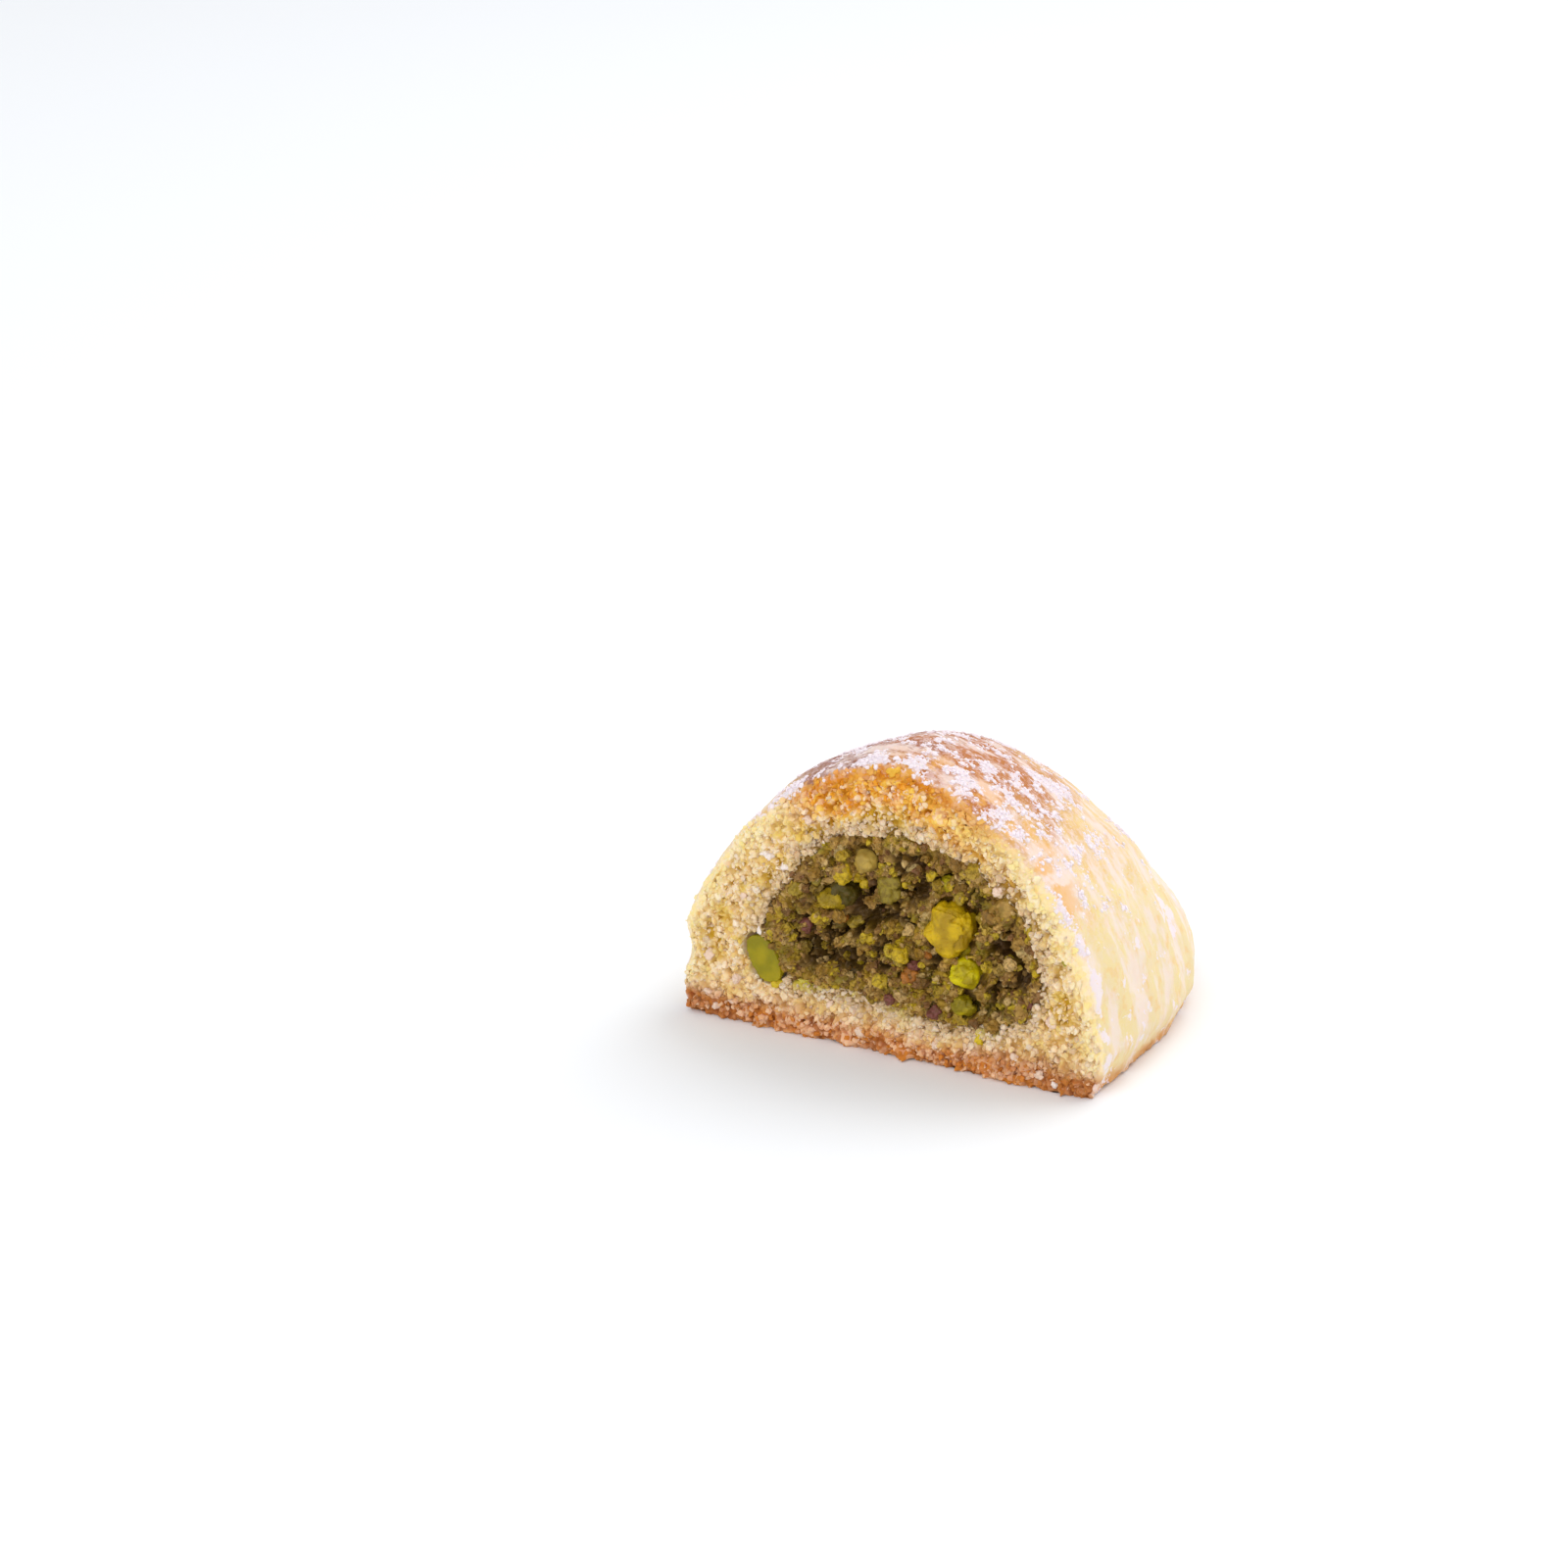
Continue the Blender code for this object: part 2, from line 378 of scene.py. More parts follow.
# Relief in millimetres: the cut is lumpy and grainy, its edge is worn round and torn, and the
# skin swells a little and is gritty along the foot. Nothing goes below the base.
relief, dough_in, dough_out = geometry_tree("dough_relief")
at = place_mm(relief)
cut, rind, core = (attribute(relief, name) for name in ("cut", "rind_mm", "core_mm"))
height = parts(relief, at)[2]
cut_rise = total(relief,
                 swing(relief, noise(relief, at, 0.24, 2), 1.3),
                 swing(relief, noise(relief, at, 0.75, 2), 0.9),
                 cobbles(relief, at, 1.15, 0.42, 0.7),
                 cobbles(relief, at, 2.3, 0.42, 0.5),
                 ramp(relief, noise(relief, at, 1.1, 1), 0.54, 0.68, 0.0, -0.4),
                 ramp(relief, core, 1.0, 0.2, 0.0, -0.25))
cut_rise = product(relief, cut_rise, cut)
from_rind = total(relief, rind, ramp(relief, height, 4.0, 2.0, 0.0, 1.2))
cut_rise = product(relief, cut_rise, ramp(relief, from_rind, 0.0, 1.2, 0.25, 1.0))
rounding = calc(relief, "POWER", attribute(relief, "arris"), 2.0)
rounding = product(relief, rounding, ramp(relief, height, 0.8, 3.5))
along_y = total(relief, product(relief, cut_rise, -0.001), product(relief, rounding, 0.0005))
out_of_cut = node(relief, "ShaderNodeCombineXYZ", {1: along_y}).outputs[0]
grit = product(relief, swing(relief, noise(relief, at, 1.9, 2), 0.8), ramp(relief, height, 2.4, 0.6))
skin_rise = total(relief,
                  swing(relief, noise(relief, at, 0.17, 1), 0.8),
                  swing(relief, noise(relief, at, 1.3, 3), 0.2),
                  grit)
skin_rise = product(relief, skin_rise, ramp(relief, rind, 0.9, 0.4))
skin_rise = product(relief, skin_rise, ramp(relief, cut, 0.6, 0.0))
outwards = along_normal(relief, skin_rise)
ragged = total(relief,
               swing(relief, noise(relief, at, 0.5, 3, 0.6), 1.3),
               swing(relief, noise(relief, at, 1.9, 1), 0.5),
               -0.05)
ragged = total(relief,
               product(relief, ragged, attribute(relief, "arris")),
               product(relief, attribute(relief, "chip"), -1.4),
               product(relief, rounding, -0.65))
sideways = away_from(relief, at, (0.0, 0.0, 6.0), ragged)
move = vector_calc(relief, "ADD", out_of_cut, outwards)
move = vector_calc(relief, "ADD", move, sideways)
kept_rise = with_number(relief, dough_in, "rise", cut_rise)
relief.links.new(shifted(relief, kept_rise, move), dough_out)
apply_tree(shortbread, relief)
low = vertex_places(shortbread.data)
low[:, 2] = np.maximum(low[:, 2], 0.0)
shortbread.data.vertices.foreach_set("co", low.ravel())

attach(shortbread, "root")
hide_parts("dough")


def colour(hex_code):
    """Linear colour from a six-digit screen colour."""
    screen = [int(hex_code[i:i + 2], 16) / 255 for i in (0, 2, 4)]
    return tuple(((s + 0.055) / 1.055) ** 2.4 if s > 0.04045 else s / 12.92 for s in screen) + (1.0,)


def blend(tree, share, first, second):
    """Mix two colours by a share from 0 to 1."""
    mix = node(tree, "ShaderNodeMix", {0: share}, data_type="RGBA")
    for slot_number, value in ((6, first), (7, second)):
        if isinstance(value, bpy.types.NodeSocket):
            tree.links.new(value, mix.inputs[slot_number])
        else:
            mix.inputs[slot_number].default_value = colour(value)
    return mix.outputs[2]


def food_material(name, roughness, scatter, radius):
    """Material with a Principled shader; scatter lets light pass a little way into the food."""
    made = bpy.data.materials.new(name)
    made.use_nodes = True
    shader = made.node_tree.nodes["Principled BSDF"]
    shader.inputs["Roughness"].default_value = roughness
    shader.inputs["Specular IOR Level"].default_value = 0.25
    shader.inputs["Subsurface Weight"].default_value = scatter
    shader.inputs["Subsurface Radius"].default_value = (1.0, 0.6, 0.3)
    shader.inputs["Subsurface Scale"].default_value = radius
    return made, made.node_tree, shader


def shader_group(name, inputs, output, kind):
    """Shader node group: numbers going in by name, and one named colour or value coming out."""
    group = bpy.data.node_groups.new(name, "ShaderNodeTree")
    for input_name, value in inputs.items():
        socket = group.interface.new_socket(input_name, in_out="INPUT", socket_type="NodeSocketFloat")
        socket.default_value = value
    group.interface.new_socket(output, in_out="OUTPUT", socket_type=kind)
    return group, node(group, "NodeGroupInput").outputs, node(group, "NodeGroupOutput").inputs[output]


def stored(tree, name):
    """A stored number, read in a material."""
    return node(tree, "ShaderNodeAttribute", attribute_name=name).outputs["Fac"]


def surface_mm(tree):
    """Object coordinates in millimetres, in a material."""
    return scaled(tree, node(tree, "ShaderNodeTexCoord").outputs["Object"], 1000.0)


def sugar_cover(tree, at):
    """How thickly sugar lies: ragged patches along the ridge, streaks down the flanks."""
    _, along, height = parts(tree, at)
    by_cut = ramp(tree, along, CUT_Y_MM + 3.5, CUT_Y_MM + 0.5, 0.0, 0.035)
    patches = noise(tree, at, 0.58, 4, 0.7)
    streaks = noise(tree, vector_calc(tree, "MULTIPLY", at, (0.5, 1.0, 0.2)), 0.42, 3, 0.6)
    mixed = total(tree, product(tree, patches, 0.65), product(tree, streaks, 0.35))
    specks = product(tree, swing(tree, noise(tree, at, 2.6, 2, 0.7), 0.24),
                     ramp(tree, height, 8.0, 16.0, 0.3, 1.0))
    return total(tree, mixed, specks, by_cut, ramp(tree, height, 8.0, 20.0, -0.065, -0.022))


# Fine grit for bumps, used by every food material.
grit_group, given, grit_out = shader_group("grit", {"Per mm": 4.0}, "Height", "NodeSocketFloat")
grit_group.links.new(noise(grit_group, surface_mm(grit_group), given["Per mm"], 3, 0.6), grit_out)


def gritty(tree, shader, per_mm, strength, depth):
    """Give a material the fine grit as a bump of this depth in metres."""
    grit = node(tree, "ShaderNodeGroup", {"Per mm": per_mm}, node_tree=grit_group)
    bump = node(tree, "ShaderNodeBump", {"Height": grit.outputs[0], "Strength": strength, "Distance": depth})
    tree.links.new(bump.outputs[0], shader.inputs["Normal"])


# Colour of the crumb by its place in the cut, used by the dough and its loose grains, with painted shade: the
# crevice input darkens the crumb to a deeper tone where the relief sinks.
crumb_group, given, crumb_out = shader_group("crumb_colour_and_shade", {"Grain": 0.5, "Crevice shade": 0.0}, "Colour",
                                             "NodeSocketColor")
tree = crumb_group
at = surface_mm(tree)
across, _, height = parts(tree, at)
rind, core = stored(tree, "rind_mm"), stored(tree, "core_mm")
mottle = noise(tree, at, 0.35, 3)
# Sandy crumb with yellow patches and painted shade in its crevices, a darker ochre, creamier low down.
crumb = blend(tree, given["Grain"], "edc67a", "fde6c8")
crumb = blend(tree, ramp(tree, noise(tree, at, 0.6, 3), 0.48, 0.62, 0.0, 0.75), crumb, "e3bd46")
crumb = blend(tree, given["Crevice shade"], crumb, "cb9d20")
crumb = blend(tree, ramp(tree, height, 7.0, 2.5, 0.0, 0.35), crumb, "ffdcb4")
# Grey-tan crumb next to the core, with painted shade in its crevices, and the yellow-green stain of the nuts
# below it.
by_core = ramp(tree, core, 2.2, 0.4, 0.0, 0.75)
crumb = blend(tree, by_core, crumb, blend(tree, given["Crevice shade"], "dcbc98", "86663a"))
stain = product(tree, ramp(tree, core, 1.4, 0.2), ramp(tree, height, 8.0, 4.0))
stain = product(tree, stain, ramp(tree, noise(tree, at, 0.30, 1), 0.46, 0.6, 0.0, 0.8))
crumb = blend(tree, stain, crumb, "d3c235")
# A golden band under the top crust, amber in the middle and paler to the right, with painted shade in its
# crevices.
gold = product(tree, ramp(tree, total(tree, rind, swing(tree, mottle, 4.0)), 4.4, 2.2),
               ramp(tree, total(tree, height, product(tree, across, 0.16)), 16.0, 20.0, 0.0, 0.95),
               ramp(tree, across, 4.0, 10.0, 1.0, 0.35))
amber = blend(tree, ramp(tree, noise(tree, at, 0.8, 3), 0.42, 0.56), "f8c450", "e69406")
amber = blend(tree, ramp(tree, given["Grain"], 0.45, 1.0), amber, "fcd8b4")
amber = blend(tree, ramp(tree, across, 2.0, 9.0, 0.0, 0.7), amber, "ffdc8c")
crumb = blend(tree, gold, crumb, blend(tree, given["Crevice shade"], amber, "c67c00"))
toasted = product(tree, ramp(tree, total(tree, rind, swing(tree, mottle, 2.0)), 1.0, 0.2),
                  ramp(tree, height, 17.0, 22.0, 0.0, 0.5))
crumb = blend(tree, toasted, crumb, "d9861a")
# Paler crumb just inside the flanks' skin.
either_side = calc(tree, "ABSOLUTE", across)
glow = product(tree, ramp(tree, total(tree, rind, swing(tree, mottle, 2.0)), 2.8, 0.4, 0.0, 0.85),
               ramp(tree, calc(tree, "SUBTRACT", height, product(tree, either_side, 0.6)), 17.0, 11.5))
crumb = blend(tree, glow, crumb, blend(tree, given["Grain"], "fae29c", "fbe6c2"))
# The browned foot, darkest towards its two ends, with painted shade in its crevices.
foot = ramp(tree, total(tree, height, swing(tree, mottle, 2.4)), 3.1, 1.2, 0.0, 0.93)
foot_tone = blend(tree, ramp(tree, given["Grain"], 0.25, 0.95), "ca7208", "f2bc94")
to_an_end = total(tree, either_side, swing(tree, noise(tree, at, 0.5, 3), 16.0))
foot_tone = blend(tree, ramp(tree, to_an_end, 9.0, 15.0, 0.0, 0.75), foot_tone, "ac5c06")
crumb = blend(tree, foot, crumb, blend(tree, given["Crevice shade"], foot_tone, "a65406"))
tree.links.new(crumb, crumb_out)

baked, tree, shader = food_material("baked_shortbread", 0.75, 0.3, 0.0010)
at = surface_mm(tree)
across, along, height = parts(tree, at)
mottle = noise(tree, at, 0.35, 3)
grain = node(tree, "ShaderNodeSeparateColor", {0: cells(tree, at, 2.1).outputs["Color"]}).outputs[0]
# Painted shade: the lower the relief lies in the cut, the darker the crumb is painted, standing in for shade
# in its crevices.
crevice_shade = ramp(tree, stored(tree, "rise"), 0.12, -0.55)
crumb = node(tree, "ShaderNodeGroup", {"Grain": grain, "Crevice shade": crevice_shade}, node_tree=crumb_group).outputs[0]

# Skin: pale straw, golden higher up, browned along the ridge and at the foot; along the ridge it is darker
# and mauve to the left, orange to the right.
skin = blend(tree, mottle, "edd992", "e9d2ae")
skin = blend(tree, ramp(tree, noise(tree, at, 0.9, 3), 0.50, 0.66, 0.0, 0.5), skin, "ecc17c")
golden = ramp(tree, total(tree, height, swing(tree, noise(tree, at, 0.25, 3), 12.0)), 12.5, 20.0, 0.0, 0.55)
skin = blend(tree, golden, skin, "e6ae5a")
to_right = ramp(tree, total(tree, across, swing(tree, mottle, 12.0)), -4.0, 5.0)
browning = ramp(tree, total(tree, height, swing(tree, mottle, 9.0)), 16.5, 23.0, 0.0, 0.95)
skin = blend(tree, browning, skin, blend(tree, to_right, "8c564a", "b86e34"))
browned_foot = ramp(tree, total(tree, height, swing(tree, mottle, 2.6)), 2.3, 0.3, 0.0, 0.85)
skin = blend(tree, browned_foot, skin, "d8924e")
# Sugar: a thin veil high up, a film in the valleys between the ribs, then thick patches. The
# ribs have no relief, so the film's stripes along them also stand in for their faint light and
# shade: partly sugar, partly painted highlight. Near the cut, on the right, golden crust shows
# through the film.
veil = product(tree, ramp(tree, noise(tree, at, 2.4, 3, 0.7), 0.46, 0.60, 0.0, 0.4),
               ramp(tree, height, 8.0, 17.0, 0.2, 1.0))
skin = blend(tree, veil, skin, "ead6dc")
rib_phase = product(tree, total(tree, along, swing(tree, noise(tree, at, 0.16, 3), 7.0), RIB_SHIFT),
                    2 * math.pi / RIB_PITCH_MM)
# Painted highlight as well as sugar: lighter film in stripes at the ribs' pitch, where no rib is modelled.
valley = calc(tree, "COSINE", rib_phase)
downhill = vector_calc(tree, "MULTIPLY", at, (0.5, 1.0, 0.4))
film = total(tree, noise(tree, downhill, 0.5, 4, 0.65), product(tree, valley, 0.035))
skin = blend(tree, ramp(tree, film, 0.46, 0.62, 0.0, 0.75), skin, "f1ded6")
by_cut = product(tree, ramp(tree, along, CUT_Y_MM + 6.0, CUT_Y_MM + 1.5),
                 ramp(tree, height, 11.0, 16.0), ramp(tree, across, -3.0, 4.0),
                 ramp(tree, noise(tree, at, 0.45, 4, 0.6), 0.44, 0.58, 0.0, 0.7))
skin = blend(tree, by_cut, skin, "ecae4e")
skin = blend(tree, ramp(tree, sugar_cover(tree, at), 0.498, 0.522, 0.0, 0.9), skin, "f0e2e6")

# The crumb shows on the cut, inside the rind, and where the skin's edge is torn off.
open_crumb = ramp(tree, total(tree, stored(tree, "cut"), swing(tree, mottle, 0.4)), 0.2, 0.6)
open_crumb = calc(tree, "MAXIMUM", open_crumb, ramp(tree, stored(tree, "rind_mm"), 0.6, 1.0))
torn = torn_edge(tree, at, stored(tree, "arris"))
open_crumb = calc(tree, "MAXIMUM", open_crumb, ramp(tree, torn, 0.40, 0.70, 0.0, 0.85))
tree.links.new(blend(tree, open_crumb, skin, crumb), shader.inputs["Base Color"])
gritty(tree, shader, 5.0, 0.5, 0.00008)
shortbread.data.materials.append(baked)

# ---- Semolina grains on the cut -------------------------------------------------------
# Hard wheat grains, a quarter to six tenths of a millimetre across, torn loose by the knife
# and still sitting in the crumb. Small closed balls are laid over the cut, turned and dented.
FULL_TURN = 6.3             # radians, a little over a whole turn


def random_number(tree, seed):
    """A random number from 0 to 1 for each point."""
    return node(tree, "FunctionNodeRandomValue", {2: 0.0, 3: 1.0, "Seed": seed}, data_type="FLOAT").outputs[1]


def random_vector(tree, low, high, seed):
    """A random vector for each point, between a low and a high one."""
    return node(tree, "FunctionNodeRandomValue", {0: low, 1: high, "Seed": seed},
                data_type="FLOAT_VECTOR").outputs[0]


def scatter(name, surface, where, gap, sizes, seed, flatten=0.8, rough=0.0006, ball=(6, 4), dents=3.4):
    """A piece of many small grains on a surface, thinned by the where function's chance.

    The gap is the least distance between two grains and the sizes are their radii. Rough is how
    far their surface is dented, with so many dents to the millimetre. Ball is a grain's segments
    and rings. More points are offered than there is room for, so the gap sets how close they lie.
    """
    piece = bpy.data.objects.new(name, surface.data.copy())
    bpy.context.scene.collection.objects.link(piece)
    tree, mesh_in, mesh_out = geometry_tree(name)
    spread = node(tree, "GeometryNodeDistributePointsOnFaces",
                  {"Mesh": mesh_in, "Distance Min": gap, "Density Max": 3.0 / gap ** 2, "Seed": seed},
                  distribute_method="POISSON")
    at = place_mm(tree)
    unwanted = calc(tree, "GREATER_THAN", random_number(tree, seed + 1), where(tree, at))
    kept = node(tree, "GeometryNodeDeleteGeometry", {"Geometry": spread.outputs[0], "Selection": unwanted},
                domain="POINT").outputs[0]
    mostly_small = calc(tree, "POWER", random_number(tree, seed + 2), 2.0)
    size = ramp(tree, mostly_small, 0.0, 1.0, sizes[0], sizes[1])
    stretch = random_vector(tree, (0.8, 0.7, flatten * 0.8), (1.3, 1.1, flatten * 1.2), seed + 3)
    scale = scaled(tree, stretch, size)
    lean = random_vector(tree, (-0.5, -0.5, 0.0), (0.5, 0.5, FULL_TURN), seed + 4)
    turn = node(tree, "FunctionNodeRotateRotation",
                {0: spread.outputs["Rotation"], 1: lean}, rotation_space="LOCAL").outputs[0]
    round_grain = node(tree, "GeometryNodeMeshUVSphere",
                       {"Segments": ball[0], "Rings": ball[1], "Radius": 1.0}).outputs[0]
    grains = node(tree, "GeometryNodeInstanceOnPoints",
                  {"Points": kept, "Instance": round_grain, "Rotation": turn, "Scale": scale}).outputs[0]
    toned = with_number(tree, grains, "tint", random_number(tree, seed + 5), "INSTANCE")
    real = node(tree, "GeometryNodeRealizeInstances", {0: toned}).outputs[0]
    dent = node(tree, "ShaderNodeTexNoise", {"Vector": at, "Scale": dents, "Detail": 1.0}).outputs["Color"]
    dent = scaled(tree, vector_calc(tree, "SUBTRACT", dent, (0.5, 0.5, 0.5)), rough)
    shaped = shifted(tree, real, dent)
    flat = node(tree, "GeometryNodeSetShadeSmooth", {"Geometry": shaped, "Shade Smooth": False}).outputs[0]
    tree.links.new(flat, mesh_out)
    apply_tree(piece, tree)
    piece.data.materials.clear()
    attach(piece, "root")
    return piece


def on_cut_crumb(tree, at):
    """Chance of a grain: all over the cut, in clumps that leave some crumb bare, none below."""
    open_cut = ramp(tree, attribute(tree, "cut"), 0.75, 0.95)
    torn = torn_edge(tree, at, attribute(tree, "arris"))
    open_cut = calc(tree, "MAXIMUM", open_cut, ramp(tree, torn, 0.50, 0.75))
    height = parts(tree, at)[2]
    grainy = total(tree, ramp(tree, height, 13.0, 17.0, 0.0, 2.0), ramp(tree, height, 4.5, 2.5, 0.0, 2.0))
    edge = total(tree, attribute(tree, "rind_mm"), grainy)
    clumps = ramp(tree, noise(tree, at, 0.8, 2), 0.38, 0.56, 0.35, 1.0)
    return product(tree, open_cut, ramp(tree, edge, 0.2, 2.0, 0.3, 1.0), ramp(tree, height, 0.3, 0.5), clumps)


def by_core_or_foot(tree, at):
    """Chance of a coarse pale grain: round the core and along the foot, few elsewhere."""
    height = parts(tree, at)[2]
    near = ramp(tree, attribute(tree, "core_mm"), 2.6, 0.8, 0.12, 1.0)
    foot = ramp(tree, height, 5.0, 1.5, 0.0, 0.22)
    open_cut = ramp(tree, attribute(tree, "cut"), 0.75, 0.95)
    return product(tree, open_cut, ramp(tree, height, 0.3, 0.5), total(tree, near, foot))


loose, tree, shader = food_material("loose_semolina", 0.45, 0.3, 0.0006)
grain_colour = node(tree, "ShaderNodeGroup", {"Grain": stored(tree, "tint"), "Crevice shade": 0.0},
                    node_tree=crumb_group).outputs[0]
tree.links.new(grain_colour, shader.inputs["Base Color"])
gritty(tree, shader, 6.0, 0.3, 0.00005)
grains = scatter("semolina_grains", shortbread, on_cut_crumb, 0.00030, (0.00011, 0.00032), 11)
grains.data.materials.append(loose)

pale, tree, shader = food_material("pale_semolina", 0.35, 0.4, 0.0006)
clear = blend(tree, stored(tree, "tint"), "d0ae84", "eed6bc")
by_foot = ramp(tree, parts(tree, surface_mm(tree))[2], 3.0, 1.5, 0.0, 0.9)
tree.links.new(blend(tree, by_foot, clear, "f0b890"), shader.inputs["Base Color"])
gritty(tree, shader, 6.0, 0.3, 0.00005)
coarse = scatter("coarse_grains", shortbread, by_core_or_foot, 0.00040, (0.00013, 0.00034), 23)
coarse.data.materials.append(pale)

# ---- Nut core -------------------------------------------------------------------------
# Ground pistachios bound with syrup: moist olive-brown lumps, torn open by the knife with
# dark gaps between them, whose darkness is partly painted shade. The imported core remeshed, with lumps
# raised on its knife face.
CORE_VOXEL = 0.00036
CORE_BAND = 0.0012          # depth behind the knife face that is meshed finely
# Deepest gaps on the knife face: across, height and radius in millimetres.
DARK_GAPS = ((2.8, 14.2, 1.1), (4.6, 14.5, 0.9), (7.6, 13.4, 1.0), (-2.6, 12.4, 1.4),
             (-6.8, 12.2, 0.9), (-3.2, 7.8, 1.2), (10.4, 11.0, 1.0), (3.6, 9.2, 1.0),
             (8.8, 7.0, 1.1), (11.6, 8.6, 0.9), (-5.0, 15.4, 0.8))
GAP_DEPTH_MM = 1.9

nut_core = copy_of("filling", "nut_core")
refine(nut_core, CORE_VOXEL, CORE_BAND, 3)
places = vertex_places(nut_core.data)
thin_hidden(nut_core, places[:, 1] > CUT_Y + 0.003, 0.75)
places = vertex_places(nut_core.data)
gap_mm = np.zeros(len(places))
for gap_x, gap_z, gap_radius in DARK_GAPS:
    from_gap = np.hypot(places[:, 0] * 1000 - gap_x, places[:, 2] * 1000 - gap_z)
    gap_mm = np.maximum(gap_mm, GAP_DEPTH_MM * np.exp(-(from_gap / gap_radius) ** 2))
store(nut_core.data, "face", np.clip(1.3 - (places[:, 1] - CUT_Y) * 1000 / 1.6, 0, 1))
store(nut_core.data, "gap_mm", gap_mm)
store(nut_core.data, "wall_mm", distances_mm(core_wall, places))

# Relief in millimetres: lumps with creases and gaps between them, and an edge that spreads a
# little over the crumb round it.
relief, core_in, core_out = geometry_tree("core_relief")
at = place_mm(relief)
warp = node(relief, "ShaderNodeTexNoise", {"Vector": at, "Scale": 0.7, "Detail": 2.0}).outputs["Color"]
warped = vector_calc(relief, "MULTIPLY_ADD", warp, (1.6, 1.6, 1.6), at)
lump = parts(relief, cells(relief, warped, 0.48).outputs["Color"])[0]
creases = ramp(relief, cells(relief, warped, 0.48, "DISTANCE_TO_EDGE").outputs[0], 0.0, 0.22, -1.0, 0.0)
rise = total(relief,
             swing(relief, lump, 2.0),
             creases,
             cobbles(relief, warped, 1.25, 0.45, 1.5),
             cobbles(relief, at, 2.8, 0.45, 0.8),
             swing(relief, noise(relief, at, 0.2, 1), 1.4),
             product(relief, attribute(relief, "gap_mm"), -1.0),
             -0.45)
rise = product(relief, rise, ramp(relief, attribute(relief, "wall_mm"), 0.2, 2.0, 0.35, 1.0))
rise = product(relief, rise, attribute(relief, "face"))
move = node(relief, "ShaderNodeCombineXYZ", {1: product(relief, rise, -0.001)}).outputs[0]
spread = total(relief, swing(relief, noise(relief, at, 0.7, 2), 1.6), 0.35)
spread = product(relief, spread, ramp(relief, attribute(relief, "wall_mm"), 1.2, 0.1))
spread = product(relief, spread, ramp(relief, attribute(relief, "face"), 0.1, 0.9))
move = vector_calc(relief, "ADD", move, away_from(relief, at, (0.5, 0.0, 10.0), spread))
kept_rise = with_number(relief, core_in, "rise", rise)
relief.links.new(shifted(relief, kept_rise, move), core_out)
apply_tree(nut_core, relief)
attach(nut_core, "root")
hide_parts("filling")

# Colour of ground nut by its place, used by the core and its crumbs, with painted shade: the deeper the
# surface lies, the darker brown it is painted.
nut_group, _, nut_out = shader_group("ground_nut_colour_and_shade", {}, "Colour", "NodeSocketColor")
tree = nut_group
at = surface_mm(tree)
patch = node(tree, "ShaderNodeSeparateColor", {0: cells(tree, at, 0.9).outputs["Color"]})
nutty = blend(tree, patch.outputs[0], "a07a2e", "cea860")
nutty = blend(tree, ramp(tree, patch.outputs[1], 0.6, 0.9, 0.0, 0.8), nutty, "b4921e")
nutty = blend(tree, ramp(tree, noise(tree, at, 0.28, 2), 0.54, 0.66, 0.0, 0.5), nutty, "7a4a3c")
nutty = blend(tree, ramp(tree, noise(tree, at, 0.45, 2), 0.46, 0.34, 0.0, 0.6), nutty, "6e6a18")
nutty = blend(tree, ramp(tree, noise(tree, at, 2.2, 3, 0.6), 0.60, 0.36, 0.0, 0.4), nutty, "62441a")
# Painted shade: the deep gaps and creases between the lumps are coloured near-black brown.
nutty = blend(tree, ramp(tree, stored(tree, "rise"), -0.4, -1.8, 0.0, 0.85), nutty, "3a2208")
tree.links.new(nutty, nut_out)

ground, tree, shader = food_material("ground_nuts", 0.5, 0.08, 0.0006)
tree.links.new(node(tree, "ShaderNodeGroup", node_tree=nut_group).outputs[0], shader.inputs["Base Color"])
gritty(tree, shader, 2.6, 0.6, 0.00012)
nut_core.data.materials.append(ground)

# ---- Nut crumbs -----------------------------------------------------------------------
# Crumbs of ground nut, from a quarter of a millimetre to two millimetres across, loosened by
# the knife. Each has its own tone, from brown through olive to yellow-green. The fine ones
# are laid by rule and the largest one by one.
CRUMB_TONES = ("80591c", "9c742c", "bc9250", "8e7420", "b0921e", "d0b41a", "d6b478", "744632")
BIT_TONES = ("c6a61c", "dcc620", "a48a2a", "96822c", "c0a468", "7a463e", "b06e2a", "4e4410", "b4a41a")
BIT_SINK = 0.1              # share of its radius by which a bit's middle lies below the surface
# Larger bits on the core: across, height and radius in millimetres, then the tone's number.
NUT_BITS = ((-3.8, 14.8, 0.6, 0), (-3.1, 14.3, 0.5, 0), (-2.6, 13.8, 0.55, 0), (-5.5, 11.9, 0.5, 0),
            (-0.4, 13.8, 1.0, 3), (-6.2, 10.6, 0.45, 0), (-4.7, 10.6, 0.45, 6), (-3.7, 10.2, 0.6, 2),
            (-7.7, 9.2, 0.6, 5), (-4.2, 16.5, 0.6, 4), (1.1, 14.4, 0.5, 0), (5.8, 9.5, 0.6, 1),
            (5.2, 15.2, 0.65, 8), (0.8, 9.5, 0.6, 0), (1.6, 9.2, 0.55, 0), (1.2, 8.6, 0.5, 2),
            (2.6, 8.2, 0.55, 5), (2.1, 7.3, 0.6, 6), (3.1, 8.9, 0.45, 6), (9.3, 12.0, 0.65, 4),
            (11.8, 11.2, 0.55, 4), (8.2, 12.9, 0.5, 2), (1.6, 15.9, 0.65, 4), (12.6, 6.7, 0.5, 5),
            (4.3, 4.4, 0.55, 5), (0.5, 5.0, 0.6, 5), (-8.5, 7.1, 0.55, 2), (-2.0, 9.3, 0.5, 0),
            (-0.8, 8.5, 0.8, 7), (-4.0, 13.0, 0.9, 7), (7.6, 5.4, 0.6, 7), (-8.4, 12.4, 0.6, 2),
            (3.4, 12.4, 0.5, 4), (6.3, 14.6, 0.45, 2), (-7.0, 13.4, 0.5, 3))


